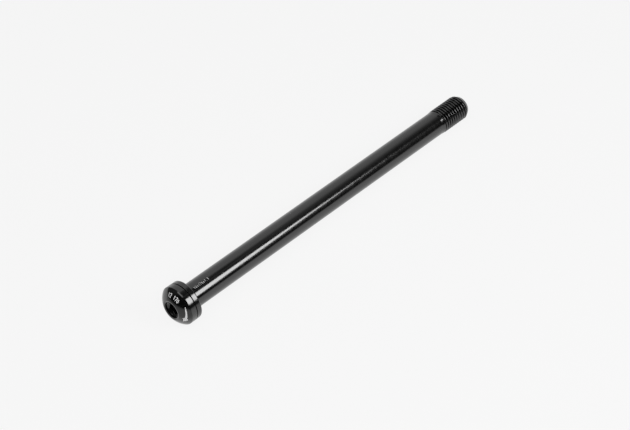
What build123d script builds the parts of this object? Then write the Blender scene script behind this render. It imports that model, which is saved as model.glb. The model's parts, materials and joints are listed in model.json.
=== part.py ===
from build123d import *
import math
import os

# A bicycle thru axle: one turned bar with a domed socket head, and a captive washer that turns
# behind the head. The axle's axis is Y. The origin is the centre of the washer's bearing face, the
# head lies towards -Y and the threaded end towards +Y. All sizes are in millimetres.

# Shank and threaded end, measured from the washer's bearing face
under_head_length = 176.0
shank_diameter = 11.35
thread_diameter = 11.9
thread_length = 18.8
thread_runout_length = 2.6
tip_face_diameter = 9.4
tip_chamfer_length = 2.25

# Lightening bore from the tip to the bottom of the socket
bore_diameter = 7.0
bore_mouth_chamfer = 0.4

# Domed head
head_diameter = 18.3
rim_width = 2.9
dome_height = 3.6
dome_radius = 10.0
face_diameter = 9.6
face_fillet = 0.7
rim_front_bevel = 0.2
rim_back_chamfer = 0.22

# Hex socket for the key, below a round counterbore with a lead-in cone at its bottom
hex_across_flats = 6.0
socket_depth = 7.0
counterbore_diameter = 7.5
counterbore_depth = 1.1
lead_in_angle = 90.0

# Groove behind the head that holds the washer's inner lip
groove_depth = 0.475
neck_fillet = 0.3
shank_shoulder_chamfer = 0.2

# Captive washer, its outside just inside the head's
washer_inset = 0.05
washer_thickness = 2.7
lip_thickness = 1.2
washer_front_chamfer = 0.25
washer_back_fillet = 0.5

# Clearances between the washer and the axle
lip_clearance = 0.05
shank_clearance = 0.1
end_play = 0.05

# Diameter at the bottom of the groove
neck_diameter = shank_diameter - 2 * groove_depth

# Places along the axis
washer_front_y = -washer_thickness
head_back_y = washer_front_y - end_play
rim_front_y = head_back_y - rim_width
face_y = rim_front_y - dome_height
neck_end_y = washer_front_y + lip_thickness + end_play
thread_start_y = under_head_length - thread_length
socket_bottom_y = face_y + socket_depth
counterbore_bottom_y = face_y + counterbore_depth


def on_axis(y):
    """A plane square to the axle at y, looking towards the threaded end."""
    return Plane(origin=(0, y, 0), x_dir=(1, 0, 0), z_dir=(0, 1, 0))


def turned(*lines):
    """The solid that a half section of lines, drawn below the axis as (y, radius), sweeps about it.

    It is turned by about an eighth of a turn, so that the surfaces' seam isn't the line that it lies on.
    """
    seam_from_bottom = 44.0
    below_axis = Plane(origin=(0, 0, 0), x_dir=(0, 1, 0), z_dir=(-1, 0, 0))
    return Rot(Y=seam_from_bottom) * revolve(below_axis * make_face(Curve() + list(lines)), Axis.Y)


def ring_edge(solid, diameter, y):
    """The round edges of a turned solid that have this diameter at this place on the axis."""
    tolerance = 1e-4
    rings = solid.edges().filter_by(GeomType.CIRCLE)
    as_wide = rings.filter_by(lambda ring: abs(2 * ring.radius - diameter) < tolerance)
    return as_wide.filter_by(lambda ring: abs(ring.arc_center.Y - y) < tolerance)


def make_bar():
    """The turned outside of the axle: dome, rim, neck groove, shank, thread blank and tapered tip."""
    face_corner = (face_y, face_diameter / 2)
    rim_corner = (rim_front_y, head_diameter / 2)
    dome = RadiusArc(face_corner, rim_corner, dome_radius)
    behind_dome = Polyline(
        rim_corner,
        (head_back_y, head_diameter / 2),
        (head_back_y, neck_diameter / 2),
        (neck_end_y, neck_diameter / 2),
        (neck_end_y, shank_diameter / 2),
        (thread_start_y, shank_diameter / 2),
        (thread_start_y + thread_runout_length, thread_diameter / 2),
        (under_head_length - tip_chamfer_length, thread_diameter / 2),
        (under_head_length, tip_face_diameter / 2),
        (under_head_length, 0),
        (face_y, 0),
        face_corner,
    )
    bar = turned(dome, behind_dome)
    bar = fillet(ring_edge(bar, face_diameter, face_y), face_fillet)
    bar = chamfer(ring_edge(bar, head_diameter, rim_front_y), rim_front_bevel)
    bar = chamfer(ring_edge(bar, head_diameter, head_back_y), rim_back_chamfer)
    bar = fillet(ring_edge(bar, neck_diameter, head_back_y), neck_fillet)
    return chamfer(ring_edge(bar, shank_diameter, neck_end_y), shank_shoulder_chamfer)


def make_socket():
    """The hex socket's hollow: a prism with two flats square to X, and a counterbore that narrows to it."""
    sides = 6
    flats_square_to_x = 180 / sides
    hexagon = RegularPolygon(hex_across_flats / 2, sides, major_radius=False, rotation=flats_square_to_x)
    prism = extrude(on_axis(face_y) * hexagon, socket_depth)
    mouth_radius = counterbore_diameter / 2
    cone_tip_y = counterbore_bottom_y + mouth_radius / math.tan(math.radians(lead_in_angle / 2))
    section = Polyline(
        (face_y, 0),
        (face_y, mouth_radius),
        (counterbore_bottom_y, mouth_radius),
        (cone_tip_y, 0),
        close=True,
    )
    return prism + turned(section)


def make_axle():
    """The whole axle: the bar with its socket broached out into the lightening bore."""
    bore_circle = on_axis(socket_bottom_y) * Circle(bore_diameter / 2)
    bore = extrude(bore_circle, under_head_length - socket_bottom_y)
    axle = make_bar() - make_socket() - bore
    return chamfer(ring_edge(axle, bore_diameter, under_head_length), bore_mouth_chamfer)


def make_washer():
    """The washer: a ring whose inner lip runs in the neck groove and whose back bears on the frame."""
    washer_diameter = head_diameter - 2 * washer_inset
    lip_diameter = neck_diameter + 2 * lip_clearance
    back_bore_diameter = shank_diameter + 2 * shank_clearance
    lip_back_y = washer_front_y + lip_thickness
    section = Polyline(
        (washer_front_y, lip_diameter / 2),
        (washer_front_y, washer_diameter / 2),
        (0, washer_diameter / 2),
        (0, back_bore_diameter / 2),
        (lip_back_y, back_bore_diameter / 2),
        (lip_back_y, lip_diameter / 2),
        close=True,
    )
    washer = turned(section)
    washer = chamfer(ring_edge(washer, lip_diameter, washer_front_y), neck_fillet + lip_clearance)
    washer = chamfer(ring_edge(washer, washer_diameter, washer_front_y), washer_front_chamfer)
    return fillet(ring_edge(washer, washer_diameter, 0), washer_back_fillet)


os.makedirs("parts", exist_ok=True)
export_step(make_axle(), "parts/axle.step")
export_step(make_washer(), "parts/washer.step")
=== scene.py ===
import json

import bpy
import numpy as np
from mathutils import Matrix, Vector


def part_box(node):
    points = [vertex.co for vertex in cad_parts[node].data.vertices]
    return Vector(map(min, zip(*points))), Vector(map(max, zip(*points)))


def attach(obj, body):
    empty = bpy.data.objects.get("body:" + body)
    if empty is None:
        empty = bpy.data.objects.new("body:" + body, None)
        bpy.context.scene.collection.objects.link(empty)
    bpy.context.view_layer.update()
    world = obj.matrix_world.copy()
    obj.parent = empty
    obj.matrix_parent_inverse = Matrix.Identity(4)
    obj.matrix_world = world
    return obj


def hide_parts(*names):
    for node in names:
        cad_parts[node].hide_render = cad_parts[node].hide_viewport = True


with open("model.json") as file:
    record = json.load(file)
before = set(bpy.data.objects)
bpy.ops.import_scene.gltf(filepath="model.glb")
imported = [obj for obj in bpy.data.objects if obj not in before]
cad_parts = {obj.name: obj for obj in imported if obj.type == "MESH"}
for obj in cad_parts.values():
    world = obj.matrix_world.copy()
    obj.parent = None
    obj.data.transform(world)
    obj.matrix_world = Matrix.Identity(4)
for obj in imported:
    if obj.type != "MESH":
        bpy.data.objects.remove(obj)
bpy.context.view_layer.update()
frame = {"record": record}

# Axle: one bar of aluminium, turned with a domed head, a groove for the washer and a plain shank,
# drilled through from the tip, with a hex socket broached in the head and a rolled M12 x 1.5 thread
# at the other end. The whole bar is anodised in gloss black.
mm = 0.001
columns = 144
phi = np.linspace(0, 2 * np.pi, columns, endpoint=False)

mounts = {mount["name"]: mount for mount in frame["record"]["mounts"]}
face_y, tip_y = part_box("axle")[0].y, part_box("axle")[1].y
thread_radius = mounts["thread"]["dims"]["r_mm"] * mm
thread_length = 18.8 * mm
thread_start_y = tip_y - thread_length
run_out_length = 2.6 * mm
tip_radius = 4.7 * mm
tip_taper = 2.25 * mm
shank_radius = 5.675 * mm
shank_end_y = thread_start_y - 0.1 * mm
bore_radius = 3.5 * mm
bore_mouth = 0.4 * mm
head_radius = 9.15 * mm
head_back_y = -2.75 * mm
rim_width = 2.9 * mm
rim_front_y = head_back_y - rim_width
rim_bevel = 0.12 * mm
dome_bevel = 0.36 * mm
rim_back_bevel = 0.22 * mm
groove_flank = 0.55 * mm
neck_radius = 5.2 * mm
neck_end_y = -1.45 * mm
neck_fillet = 0.3 * mm
shoulder = 0.2 * mm
dome_radius = 10 * mm
lip_radius = 4.8 * mm
lip_fillet = 0.7 * mm
mouth_radius = 3.93 * mm
mouth_roll = 1.38 * mm
counterbore_depth = 1.1 * mm
hex_apothem = 3 * mm
socket_depth = 7 * mm
socket_bottom_y = face_y + socket_depth
fine_edge = 0.04 * mm


def eased(corners, cuts, steps=5):
    """An open outline through corners, with each inner corner rounded by a circular arc.

    The arc starts and ends one cut from the corner, on its two lines. It is the weighted mean of
    those ends and the corner, with weights (1 - k)^2, k^2 and 2k(1 - k) sin(half the corner's angle)
    for k from 0 to 1. One more point a quarter of the cut past each end keeps the flats beside the
    arc flat in shading.
    """
    corners = np.array(corners, float)
    cuts = np.array(cuts, float)[:, None]
    at = corners[1:-1]
    back = corners[:-2] - at
    back /= np.linalg.norm(back, axis=1, keepdims=True)
    ahead = corners[2:] - at
    ahead /= np.linalg.norm(ahead, axis=1, keepdims=True)
    half_sine = np.sqrt((1 - (back * ahead).sum(1)) / 2)
    k = np.linspace(0, 1, steps)
    weights = np.stack([
        np.broadcast_to((1 - k) ** 2, (len(at), steps)),
        2 * k * (1 - k) * half_sine[:, None],
        np.broadcast_to(k ** 2, (len(at), steps)),
    ], axis=2)
    weights /= weights.sum(2, keepdims=True)
    ends = np.stack([at + back * cuts, at, at + ahead * cuts], axis=1)
    arcs = weights @ ends
    past = 1.25 * cuts
    arcs = np.concatenate([(at + back * past)[:, None], arcs, (at + ahead * past)[:, None]], axis=1)
    return np.concatenate([corners[:1], arcs.reshape(-1, 2), corners[-1:]])


def arc(centre, radius, start, end, rows):
    """Points of a circle in the (y, r) plane, evenly spaced between two angles from the y axis."""
    turn = np.linspace(start, end, rows)
    return np.stack([centre[0] + radius * np.cos(turn), centre[1] + radius * np.sin(turn)], axis=1)


def mesh_object(name, points, faces, smooth=True):
    """A piece at the origin from an array of points and an array of faces with as many corners each."""
    mesh = bpy.data.meshes.new(name)
    mesh.from_pydata(points.reshape(-1, 3).tolist(), [], faces.tolist())
    mesh.polygons.foreach_set("use_smooth", np.full(len(mesh.polygons), smooth))
    mesh.update()
    piece = bpy.data.objects.new(name, mesh)
    bpy.context.scene.collection.objects.link(piece)
    return piece


def all_round(outline):
    """The radii of an outline that is the same at every angle, with a column for each."""
    return np.repeat(outline[:, 1:], columns, axis=1)


def lathe(name, y, r):
    """A ring of quads about the Y axis, closed along its outline and round the axis.

    Row i is the outline's point at y[i], and r[i] holds its radius at each angle phi. Point (i, j) is
    (r sin phi, y, r cos phi), with phi from +Z towards +X.
    """
    points = np.stack([r * np.sin(phi), np.broadcast_to(y[:, None], r.shape), r * np.cos(phi)], axis=2)
    index = np.arange(r.size).reshape(r.shape)
    below = np.roll(index, -1, axis=0)
    faces = np.stack([index, below, np.roll(below, -1, axis=1), np.roll(index, -1, axis=1)], axis=2)
    return mesh_object(name, points, faces.reshape(-1, 4))


def smooth_step(low, high, x):
    """0 below low, 1 above high, and 3k^2 - 2k^3 of the share k between them."""
    k = np.clip((x - low) / (high - low), 0, 1)
    return k * k * (3 - 2 * k)


# The outline runs from the shank's far end back to the neck, the rim, the dome and the socket's mouth,
# where the face rolls over into the counterbore. The dome's centre lies square to the middle of the
# chord from the face's corner to the rim's.
dome_rows, lip_rows, roll_rows = 40, 10, 32
dome_chord = np.array([rim_front_y - face_y, head_radius - lip_radius])
dome_half = np.linalg.norm(dome_chord) / 2
dome_rise = np.sqrt(dome_radius ** 2 - dome_half ** 2) / (2 * dome_half)
dome_centre = (
    (face_y + rim_front_y) / 2 + dome_rise * dome_chord[1],
    (lip_radius + head_radius) / 2 - dome_rise * dome_chord[0],
)
rim_angle = np.arctan2(head_radius - dome_centre[1], rim_front_y - dome_centre[0])
dome_start = rim_angle + dome_bevel / dome_radius
fillet_y = face_y + lip_fillet
fillet_reach = dome_radius - lip_fillet
fillet_r = dome_centre[1] + np.sqrt(fillet_reach ** 2 - (fillet_y - dome_centre[0]) ** 2)
dome_end = np.arctan2(fillet_r - dome_centre[1], fillet_y - dome_centre[0])
dome_arc = arc(dome_centre, dome_radius, dome_start, dome_end, dome_rows)
lip_arc = arc((fillet_y, fillet_r), lip_fillet, dome_end, np.pi, lip_rows)
roll_angle = np.arcsin((fillet_r - mouth_radius - fine_edge / 2) / mouth_roll)
roll_arc = arc((face_y + mouth_roll, fillet_r), mouth_roll, np.pi, np.pi + roll_angle, roll_rows)
shank_to_rim = eased(
    [
        (shank_end_y, shank_radius),
        (neck_end_y + shoulder, shank_radius),
        (neck_end_y, shank_radius - shoulder),
        (neck_end_y, neck_radius),
        (head_back_y, neck_radius),
        (head_back_y, head_radius - groove_flank),
        (head_back_y - rim_back_bevel, head_radius),
        (rim_front_y + rim_bevel, head_radius),
        tuple(dome_arc[0]),
    ],
    [fine_edge, fine_edge, fine_edge, neck_fillet, fine_edge, fine_edge, fine_edge],
)
outside = np.concatenate([shank_to_rim, dome_arc[1:], lip_arc[1:], roll_arc[1:]])

# The socket is a hexagon with corners on +Z and -Z, below a round counterbore that narrows to it in a
# 45 degree lead-in cone. Rows are close together where the cone runs into the flats.
mouth_y = roll_arc[-1, 0]
lead_in_y = face_y + counterbore_depth
cone_end_y = lead_in_y + 0.98 * mm
flats_y = lead_in_y + 1.2 * mm
cone_rows, flats_rows = 28, 8
socket_y = np.concatenate([
    [mouth_y + fine_edge / 2, mouth_y + fine_edge, lead_in_y - fine_edge],
    np.linspace(lead_in_y + fine_edge, cone_end_y, cone_rows),
    np.linspace(flats_y, socket_bottom_y, flats_rows),
])
sixth = np.pi / 3
hexagon = hex_apothem / np.cos(phi % sixth - sixth / 2)
round_r = mouth_radius - np.maximum(socket_y - lead_in_y, 0)
socket_r = np.maximum(round_r[:, None], hexagon)

# The bore runs from the socket's bottom to a chamfered mouth in the tip's flat end.
bore = eased(
    [
        (socket_bottom_y + fine_edge, bore_radius),
        (tip_y - bore_mouth, bore_radius),
        (tip_y, bore_radius + bore_mouth),
        (tip_y, tip_radius - 2 * fine_edge),
    ],
    [fine_edge, fine_edge],
)

# The thread climbs to the right with the phase y / pitch - phi / full turn. Its crest is a round arc,
# from whose ends the flanks drop steeply to the root. The first turn fades in past the shank,
# and the tip's cone cuts the last one off.
pitch = 1.5 * mm
crest_phase = 0.437
crest_round = 0.38 * mm
flank = np.radians(65)
thread_depth = 0.92 * mm
fade_start_y = thread_start_y + 1.2 * mm
fade_end_y = thread_start_y + 2.4 * mm
rows_per_turn = 40
thread_y = np.linspace(tip_y, thread_start_y, round(thread_length / pitch * rows_per_turn))
phase = thread_y[:, None] / pitch - phi / (2 * np.pi) - crest_phase
off_crest = np.abs(phase - np.round(phase)) * pitch
arc_half = crest_round * np.sin(flank)
on_arc = np.sqrt(crest_round ** 2 - np.minimum(off_crest, arc_half) ** 2)
drop = crest_round - on_arc + np.maximum(off_crest - arc_half, 0) * np.tan(flank)
drop = np.minimum(drop, thread_depth)
fade_in = smooth_step(fade_start_y, fade_end_y, thread_y)[:, None]
climb = np.clip((thread_y - thread_start_y) / run_out_length, 0, 1)
run_out = (shank_radius + (thread_radius - shank_radius) * climb)[:, None]
taper = (tip_radius + (tip_y - thread_y) * (thread_radius - tip_radius) / tip_taper)[:, None]
thread_r = np.minimum(run_out - fade_in * drop, taper)

axle_y = np.concatenate([outside[:, 0], socket_y, bore[:, 0], thread_y])
axle_r = np.concatenate([all_round(outside), socket_r, all_round(bore), thread_r])
axle = lathe("turned_axle", axle_y, axle_r)


class Socket:
    """A shader socket. Operators on it add Math nodes, and node() adds a node of any other kind."""

    def __init__(self, tree, socket=None):
        self.tree = tree
        self.socket = socket

    def node(self, kind, inputs, settings=None, output=0):
        """One output of a new node, whose settings are made first and then its sockets."""
        made = self.tree.nodes.new("ShaderNode" + kind)
        for name, value in (settings or {}).items():
            setattr(made, name, value)
        for name, value in inputs.items():
            if isinstance(value, Socket):
                self.tree.links.new(value.socket, made.inputs[name])
            else:
                made.inputs[name].default_value = value
        return Socket(self.tree, made.outputs[output])

    def math(self, operation, first, second):
        """The result of a Math node on two sockets or numbers."""
        return self.node("Math", {0: first, 1: second}, {"operation": operation})

    def __add__(self, other):
        return self.math("ADD", self, other)

    def __radd__(self, other):
        return self.math("ADD", other, self)

    def __sub__(self, other):
        return self.math("SUBTRACT", self, other)

    def __rsub__(self, other):
        return self.math("SUBTRACT", other, self)

    def __mul__(self, other):
        return self.math("MULTIPLY", self, other)

    def __pow__(self, other):
        return self.math("POWER", self, other)


def new_material(name):
    """A material of that name, its Principled shader, and a socket that starts its node maths."""
    material = bpy.data.materials.new(name)
    material.use_nodes = True
    return material, material.node_tree.nodes["Principled BSDF"], Socket(material.node_tree)


def split(vector):
    """The X, Y and Z of a vector, by name."""
    return {axis: vector.node("SeparateXYZ", {0: vector}, output=axis) for axis in "XYZ"}


def plug(shader, **values):
    """Links shader sockets, named with underscores for spaces, to the given values."""
    for name, value in values.items():
        value.tree.links.new(value.socket, shader.inputs[name.replace("_", " ")])


def ramp(value, start, end, low, high, kind="LINEAR"):
    """A number that goes from low to high while the value goes from start to end, and stops there."""
    limits = {"Value": value, "From Min": start, "From Max": end, "To Min": low, "To Max": high}
    return value.node("MapRange", limits, {"interpolation_type": kind})


def mixed(share, first, second):
    """A colour between two others by the share of the second, with the Mix node's colour sockets."""
    return share.node("Mix", {0: share, 6: first, 7: second}, {"data_type": "RGBA"}, output=2)


def grey(level):
    """A grey colour of a varying level."""
    return level.node("CombineColor", {0: level, 1: level, 2: level})


def black_anodising(name, dark, light, roughness):
    """Gloss black anodising over a lathe-turned surface.

    Feed marks are noise on one number, a mix of the place along the axis and the distance from it, so
    they run as rings on the shank and on the dome alike. The dye's depth is a soft cloudy noise. The
    roughness grows along the axis, drops on the thread, and strays with each noise about its mean.
    """
    distance_share = 0.8
    feed_scale, passes_scale, cloud_scale = 5200.0, 420.0, 260.0
    feed_stray, passes_stray, cloud_stray = 0.05, 0.06, 0.08
    mean = 0.5
    cloud_share = 0.7
    rougher_per_metre = 0.35
    smoother_thread = 0.08
    feed_height = 0.8e-6
    passes_times_feed = 2
    finish_ior = 1.75
    material, shader, start = new_material(name)
    place = start.node("TexCoord", {}, output="Object")
    at = split(place)
    from_axis = (at["X"] * at["X"] + at["Z"] * at["Z"]) ** 0.5
    along = at["Y"] + from_axis * distance_share
    one_way = {"noise_dimensions": "1D"}
    feed = start.node("TexNoise", {"W": along, "Scale": feed_scale, "Detail": 2.0}, one_way)
    passes = start.node("TexNoise", {"W": along, "Scale": passes_scale, "Detail": 1.0}, one_way)
    cloud = start.node("TexNoise", {"Vector": place, "Scale": cloud_scale, "Detail": 4.0})
    dye = mixed(cloud * cloud_share + passes * (1 - cloud_share), dark, light)
    on_thread = ramp(at["Y"], thread_start_y, thread_start_y + mm, low=0.0, high=1.0)
    wear = at["Y"] * rougher_per_metre - on_thread * smoother_thread
    stray = (feed - mean) * feed_stray + (passes - mean) * passes_stray + (cloud - mean) * cloud_stray
    relief = feed + passes * passes_times_feed
    rings = start.node("Bump", {"Strength": 1.0, "Distance": feed_height, "Height": relief})
    plug(shader, Base_Color=dye, Roughness=roughness + wear + stray, Normal=rings)
    shader.inputs["IOR"].default_value = finish_ior
    return material


axle.data.materials.append(black_anodising(
    "black_anodised_bar", dark=(0.001, 0.001, 0.001, 1), light=(0.003, 0.003, 0.003, 1), roughness=0.135
))
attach(axle, "axle")
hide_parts("axle")

# Washer: a plain aluminium ring, turned and anodised black like the bar. Its inner lip is closed into
# the groove behind the head, so it stays on the axle and turns against the frame.
washer_front_y, washer_back_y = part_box("washer")[0].y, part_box("washer")[1].y
washer_radius = 9.1 * mm
lip_bore = 5.25 * mm
back_bore = 5.775 * mm
lip_back_y = -1.5 * mm
front_bevel = 0.25 * mm
back_fillet = 0.5 * mm
lip_bevel = 0.35 * mm
lip_middle_y = (washer_front_y + lip_back_y) / 2
washer_outline = eased(
    [
        (lip_middle_y, lip_bore),
        (lip_back_y, lip_bore),
        (lip_back_y, back_bore),
        (washer_back_y, back_bore),
        (washer_back_y, washer_radius),
        (washer_front_y + front_bevel, washer_radius),
        (washer_front_y, washer_radius - groove_flank),
        (washer_front_y, lip_bore + lip_bevel),
        (washer_front_y + lip_bevel, lip_bore),
        (lip_middle_y, lip_bore),
    ],
    [fine_edge, fine_edge, fine_edge, back_fillet, fine_edge, fine_edge, fine_edge, fine_edge],
)[:-1]
washer = lathe("spinning_washer", washer_outline[:, 0], all_round(washer_outline))
washer.data.materials.append(black_anodising(
    "black_anodised_ring", dark=(0.001, 0.001, 0.001, 1), light=(0.004, 0.004, 0.004, 1), roughness=0.16
))
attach(washer, "washer")
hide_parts("washer")

# Marks: thin matt white marking printed on the black finish. The dome has plain size figures and an
# arrow for the turning direction, and the shank has smaller size figures behind the head.
mark_height = 0.02 * mm
stroke_step = 0.003 * mm
stroke_rows = 33
marked_r = 7.2 * mm


def along_path(path, count):
    """As many points as count, evenly spaced along a polyline."""
    path = np.array(path, float)
    run = np.concatenate([[0], np.cumsum(np.linalg.norm(np.diff(path, axis=0), axis=1))])
    at = np.linspace(0, run[-1], count)
    return np.stack([np.interp(at, run, path[:, 0]), np.interp(at, run, path[:, 1])], axis=1)


def ellipse(centre, radii, start, end):
    """Points of an ellipse from one angle to another, in degrees."""
    turn = np.radians(np.linspace(start, end, stroke_rows))
    return np.stack([centre[0] + radii[0] * np.cos(turn), centre[1] + radii[1] * np.sin(turn)], axis=1)


def strip(path, half_width, top, closed=False, across=2):
    """A thin closed strip carried along a flat path, as points (u, v, height) and quads.

    Its section is a box from -top to top, half_width to each side of the path along its normal, the
    path's direction turned a quarter. A closed path joins up, and an open one is capped at both ends.
    """
    tangent = np.gradient(path, axis=0)
    if closed:
        tangent = np.roll(path, -1, axis=0) - np.roll(path, 1, axis=0)
    tangent /= np.linalg.norm(tangent, axis=1, keepdims=True)
    normal = np.stack([-tangent[:, 1], tangent[:, 0]], axis=1)
    side = np.linspace(1, -1, across)
    side = np.concatenate([side, side[::-1]])
    reach = np.broadcast_to(half_width, len(path))[:, None] * side
    flat = path[:, None] + normal[:, None] * reach[..., None]
    height = np.broadcast_to(np.repeat([-top, top], across), reach.shape)
    points = np.concatenate([flat, height[..., None]], axis=2)
    index = np.arange(reach.size).reshape(reach.shape)
    ahead = np.roll(index, -1, axis=0)
    tube = np.stack([index, ahead, np.roll(ahead, -1, axis=1), np.roll(index, -1, axis=1)], axis=2)
    if closed:
        return points.reshape(-1, 3), tube.reshape(-1, 4)
    low, high = index[:, :across], index[:, across:][:, ::-1]
    caps = np.stack([low[:, :-1], low[:, 1:], high[:, 1:], high[:, :-1]], axis=2)
    faces = [tube[:-1].reshape(-1, 4), caps[0], caps[-1][:, ::-1]]
    return points.reshape(-1, 3), np.concatenate(faces)


# Each figure is drawn in a box one unit high and one unit wide, as strokes (path, closed).
figures = {
    "1": [([(0.2, 0.74), (0.56, 1), (0.56, 0)], False)],
    "2": [(np.vstack([ellipse((0.5, 0.7), (0.4, 0.3), 170, -35), [(0.1, 0), (0.92, 0)]]), False)],
    "5": [(np.vstack([[(0.86, 1), (0.2, 1), (0.14, 0.55)],
                      ellipse((0.46, 0.32), (0.42, 0.32), 130, -150)]), False)],
    "6": [(ellipse((0.5, 0.31), (0.4, 0.31), 150, 510), True),
          (ellipse((1.02, 0.34), (0.92, 0.66), 178, 118), False)],
    "7": [([(0.08, 1), (0.9, 1), (0.36, 0)], False)],
    "x": [([(0.12, 0), (0.88, 0.6)], False), ([(0.12, 0.6), (0.88, 0)], False)],
    ".": [([(0.5, -0.06), (0.5, 0.1)], False)],
}


def written(text, advance, width, height, half_width):
    """The strips of a line of figures, centred on (0, 0), as points (u, v, height) and quads.

    Where a figure has two strokes, the second is a step higher, so that their tops don't coincide.
    """
    points, faces, count = [], [], 0
    for place, figure in enumerate(text):
        left = (place - (len(text) - 1) / 2) * advance - width / 2
        for layer, (path, closed) in enumerate(figures.get(figure, [])):
            even = along_path(path, stroke_rows)
            if closed:
                even = even[:-1]
            drawn = even * (width, height) + (left, -height / 2)
            top = mark_height + layer * stroke_step
            stroke_points, stroke_faces = strip(drawn, half_width, top, closed)
            points.append(stroke_points)
            faces.append(stroke_faces + count)
            count += len(stroke_points)
    return np.concatenate(points), np.concatenate(faces)


def on_dome(points, middle_phi):
    """Flat points laid on the dome: u runs clockwise round the axis and v outwards along the dome.

    The angle is middle_phi + u / marked_r, the dome's own angle falls by v / its radius from where the
    dome is marked_r wide, and the height is added to that radius.
    """
    u, v, height = points.T
    angle = middle_phi + u / marked_r
    middle_turn = np.pi - np.arcsin((marked_r - dome_centre[1]) / dome_radius)
    turn = middle_turn - v / dome_radius
    y = dome_centre[0] + (dome_radius + height) * np.cos(turn)
    r = dome_centre[1] + (dome_radius + height) * np.sin(turn)
    return np.stack([r * np.sin(angle), y, r * np.cos(angle)], axis=1)


def on_shank(points, middle_phi, middle_y):
    """Flat points laid on the shank: u runs along the axis and v back round it, against phi."""
    u, v, height = points.T
    angle = middle_phi - v / shank_radius
    r = shank_radius + height
    return np.stack([r * np.sin(angle), middle_y + u, r * np.cos(angle)], axis=1)


def white_marking(name, colour, worn):
    """Matt white marking with a fine grain, where the black shows faintly between the grains."""
    grain_scale, patch_scale = 9000.0, 900.0
    grain_share = 0.6
    least_rough, grain_rough = 0.5, 0.2
    pit_depth = 4e-6
    material, shader, start = new_material(name)
    place = start.node("TexCoord", {}, output="Object")
    grain = start.node("TexNoise", {"Vector": place, "Scale": grain_scale, "Detail": 3.0})
    patch = start.node("TexNoise", {"Vector": place, "Scale": patch_scale, "Detail": 2.0})
    tone = mixed(grain * grain_share + patch * (1 - grain_share), worn, colour)
    pitting = start.node("Bump", {"Strength": 0.5, "Distance": pit_depth, "Height": grain})
    plug(shader, Base_Color=tone, Roughness=least_rough + grain * grain_rough, Normal=pitting)
    return material


dome_points, dome_faces = written(
    "12 176", advance=1.1 * mm, width=0.92 * mm, height=1.7 * mm, half_width=0.17 * mm
)
dome_points = on_dome(dome_points, middle_phi=np.radians(3))
dome_figures = mesh_object("dome_figures", dome_points, dome_faces, smooth=False)
shank_points, shank_faces = written(
    "12x176x1.5", advance=0.84 * mm, width=0.62 * mm, height=1.05 * mm, half_width=0.05 * mm
)
shank_points = on_shank(shank_points, middle_phi=np.radians(15), middle_y=6.9 * mm)
shank_figures = mesh_object("shank_figures", shank_points, shank_faces, smooth=False)

# The arrow's places are degrees round the dome from +Z, from its tail to its point.
tail, bend, kink, neck, barbs, point = 53, 70, 94, 94.5, 98.5, 118
arrow_middle = 86
shaft_rows, head_rows = 24, 12
arrow_turn = np.concatenate([np.linspace(tail, neck, shaft_rows), np.linspace(barbs, point, head_rows)])
arrow_v = np.interp(arrow_turn, [tail, bend, kink, point], [1.14, 0.68, 0.2, -0.69]) * mm
arrow_width = np.interp(arrow_turn, [tail, bend, neck, barbs, point], [0.1, 0.34, 0.45, 1.3, 0.02]) * mm
arrow_path = np.stack([np.radians(arrow_turn - arrow_middle) * marked_r, arrow_v], axis=1)
arrow_points, arrow_faces = strip(arrow_path, arrow_width, mark_height, across=9)
arrow_points = on_dome(arrow_points, middle_phi=np.radians(arrow_middle))
turning_arrow = mesh_object("turning_arrow", arrow_points, arrow_faces, smooth=False)

marking = white_marking("white_marking", colour=(0.86, 0.86, 0.86, 1), worn=(0.72, 0.72, 0.72, 1))
for mark in (dome_figures, shank_figures, turning_arrow):
    mark.data.materials.append(marking)
    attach(mark, "axle")

# Floor: a pale paper sheet that the axle lies on, touching the head's rim and the thread. Behind the
# axle it sweeps up into a backdrop. The camera sees it all plain. The gloss of the bar mirrors its glow
# with painted light and shade: fading to the right and to the front, a painted contact shadow just in
# front of the head's foot, and on the backdrop a glow painted brighter low at the left and near the top.
rim_foot_y = head_back_y - rim_back_bevel
thread_foot_y = tip_y - tip_taper
contact_slope = (head_radius - thread_radius) / (thread_foot_y - rim_foot_y)
sheet_centre_y = 0.085
flat_rings = [0.0, 0.05, 0.2, 0.6, 1.0]
flat_reach, cove = 1.3, 0.4
sheet_edge, backdrop_top = 0.03, 3.1
backdrop_way = np.radians(110)
end_cosine, full_cosine = 0.45, 0.58
sheet_columns, cove_rows = 96, 10
around = np.linspace(0, 2 * np.pi, sheet_columns, endpoint=False)
behind = smooth_step(end_cosine, full_cosine, np.cos(around - backdrop_way))
wall_height = sheet_edge + (backdrop_top - sheet_edge) * behind
cove_turn = np.linspace(0, np.pi / 2, cove_rows)
cove_reach = flat_reach + cove * np.sin(cove_turn)
reach = np.concatenate([flat_rings, cove_reach, cove_reach[-1:]])
rise = np.concatenate([np.zeros(len(flat_rings)), cove * (1 - np.cos(cove_turn)), [backdrop_top]])
sheet_x = reach[:, None] * np.cos(around)
sheet_y = sheet_centre_y + reach[:, None] * np.sin(around)
sheet_z = np.minimum(rise[:, None], wall_height) - head_radius + contact_slope * (sheet_y - rim_foot_y)
sheet_index = np.arange(sheet_x.size).reshape(sheet_x.shape)
sheet_next = np.roll(sheet_index, -1, axis=1)
sheet_faces = np.stack([sheet_index[:-1], sheet_index[1:], sheet_next[1:], sheet_next[:-1]], axis=2)
floor = mesh_object("floor", np.stack([sheet_x, sheet_y, sheet_z], axis=2), sheet_faces.reshape(-1, 4))

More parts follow.
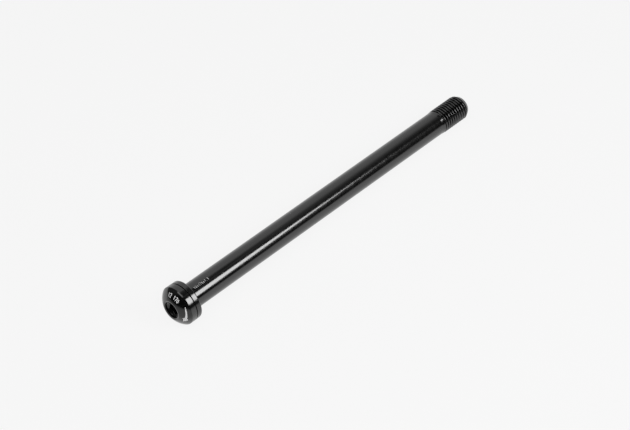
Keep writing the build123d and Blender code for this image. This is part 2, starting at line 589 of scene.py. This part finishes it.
pale = 0.935
shadow_left = 0.06
paper = bpy.data.materials.new("pale_sheet")
paper.use_nodes = True
paper.cycles.emission_sampling = "NONE"
sheet = Socket(paper.node_tree)
sheet_at = split(sheet.node("TexCoord", {}, output="Object"))
seen, mirrored, refracted = [
    sheet.node("LightPath", {}, output="Is %s Ray" % ray) for ray in ("Camera", "Glossy", "Transmission")
]
# Painted light and shade, seen only in reflections: the backdrop's glow is brighter at the left and near
# its top, and darker towards the upper right.
on_wall = ramp(sheet_at["Z"], start=0.05, end=0.5, low=0.0, high=1.0, kind="SMOOTHSTEP")
to_upper_right = sheet_at["X"] + sheet_at["Z"] * 0.5
left_light = ramp(to_upper_right, start=-0.25, end=1.75, low=0.77, high=0.0, kind="SMOOTHSTEP")
high_light = ramp(sheet_at["Z"], start=1.9, end=3.0, low=0.03, high=0.28)
painted_wall_light = 1 - on_wall * (1 - left_light - high_light)
to_back_left = sheet_at["Y"] - sheet_at["X"] * 0.5
# Painted shadow and shade, seen only in reflections: a darker patch just in front of the head's foot,
# and the floor's glow fading to the front and to the right.
painted_contact_shadow = ramp(to_back_left, start=-0.012, end=-0.021, low=1.0, high=0.58)
painted_front_shade = painted_contact_shadow * ramp(sheet_at["Y"], start=-0.035, end=-0.35, low=1.0, high=0.35)
painted_right_shade = ramp(sheet_at["X"], start=0.04, end=0.4, low=1.0, high=0.25)
painted_mirror_light = painted_wall_light * painted_front_shade * (on_wall + (1 - on_wall) * painted_right_shade)
matt = sheet.node("BsdfDiffuse", {"Color": (pale, pale, pale, 1)})
glow = sheet.node("Emission", {"Color": grey((seen + (1 - seen) * painted_mirror_light) * pale)})
glow_share = (seen + mirrored + refracted) * (1 - shadow_left)
surface = sheet.node("MixShader", {0: glow_share, 1: matt, 2: glow})
plug(paper.node_tree.nodes["Material Output"], Surface=surface)
floor.data.materials.append(paper)

# Soft light: a softbox beside the thread, turned so that a corner points along the axle, whose mirror
# image is the bright strip on the shank, a weak panel overhead that the edges mirror, and a fill from
# the front. The room is dark, less so at the upper left, and pale to the camera like the sheet.
axle_line = np.array([0.0, 1.0, 0.0])


def unit(vector):
    """The vector at length 1."""
    return np.array(vector, float) / np.linalg.norm(vector)


def stand(piece, place, right, up, back):
    """Puts a lamp or camera at a place, with its own x, y and z axes along right, up and back."""
    turn = Matrix(np.stack([right, up, back], axis=1).tolist()).to_4x4()
    piece.matrix_world = Matrix.Translation(Vector(place.tolist())) @ turn
    bpy.context.scene.collection.objects.link(piece)


def soft_panel(name, length, width, radiance, mirrored=True):
    """A rectangular lamp of that radiance, which the camera doesn't see, and gloss only if mirrored."""
    lamp = bpy.data.lights.new(name, "AREA")
    lamp.shape = "RECTANGLE"
    lamp.size = length
    lamp.size_y = width
    lamp.energy = radiance * np.pi * length * width
    panel = bpy.data.objects.new(name, lamp)
    panel.visible_camera = False
    panel.visible_glossy = mirrored
    return panel


box_aim = unit((0.709, 0.524, 0.471))
box_long = unit(axle_line - box_aim * box_aim[1])
box_wide = np.cross(box_long, box_aim)
box_distance = 0.6
box_turn = np.radians(38.4)
box_length, box_width = 0.24, 0.3
corner_along, corner_down = 0.094, -0.108
box_shift = 0.01
length_way = -np.cos(box_turn) * box_long - np.sin(box_turn) * box_wide
width_way = -np.sin(box_turn) * box_long + np.cos(box_turn) * box_wide
box_corner = (
    box_distance * box_aim + corner_along * box_long + corner_down * box_wide + box_shift * axle_line
)
box_middle = box_corner + length_way * box_length / 2 + width_way * box_width / 2
softbox = soft_panel("softbox", box_length, box_width, radiance=8.6)
stand(softbox, box_middle, length_way, np.cross(box_aim, length_way), box_aim)

overhead_place = np.array([-0.085, -0.23, 0.75])
overhead = soft_panel("overhead_panel", length=0.55, width=0.7, radiance=1.4)
stand(overhead, overhead_place, *np.eye(3))

fill_aim = unit((0.4, -0.4, 0.82))
fill_right = unit(np.cross((0, 0, 1), fill_aim))
fill_distance = 0.8
fill = soft_panel("fill_panel", length=0.5, width=0.5, radiance=2.9, mirrored=False)
stand(fill, fill_aim * fill_distance, fill_right, np.cross(fill_aim, fill_right), fill_aim)

world = bpy.data.worlds.new("dark_room")
bpy.context.scene.world = world
world.use_nodes = True
room = Socket(world.node_tree)
room_at = split(room.node("TexCoord", {}, output="Generated"))
to_upper_left = room_at["Z"] * 0.8 - room_at["X"] * 0.7
dim = ramp(to_upper_left, start=0.6, end=0.8, low=0.02, high=0.1)
to_camera = room.node("LightPath", {}, output="Is Camera Ray")
room_tone = to_camera * pale + (1 - to_camera) * dim
plug(world.node_tree.nodes["Background"], Color=grey(room_tone))

# Camera: a long lens that looks down on the axle from beside its head, as in the photograph. Its place
# is given in its own axes, from the middle of the groove between the head and the washer.
azimuth, elevation = np.radians(43.95), np.radians(43.26)
focal_length = 99.9
nearest_seen = 0.01
shift_right, shift_up, distance = 0.05536, 0.03654, 0.7315
lens_back = np.array([
    np.sin(azimuth) * np.cos(elevation),
    -np.cos(azimuth) * np.cos(elevation),
    np.sin(elevation),
])
lens_right = np.array([np.cos(azimuth), np.sin(azimuth), 0])
lens_up = np.cross(lens_back, lens_right)
groove_y = (washer_front_y + head_back_y) / 2
lens_place = groove_y * axle_line + shift_right * lens_right + shift_up * lens_up + distance * lens_back
camera_data = bpy.data.cameras.new("camera")
camera_data.lens = focal_length
camera_data.clip_start = nearest_seen
camera = bpy.data.objects.new("camera", camera_data)
stand(camera, lens_place, lens_right, lens_up, lens_back)
bpy.context.scene.camera = camera
bpy.context.scene.view_settings.view_transform = "Standard"
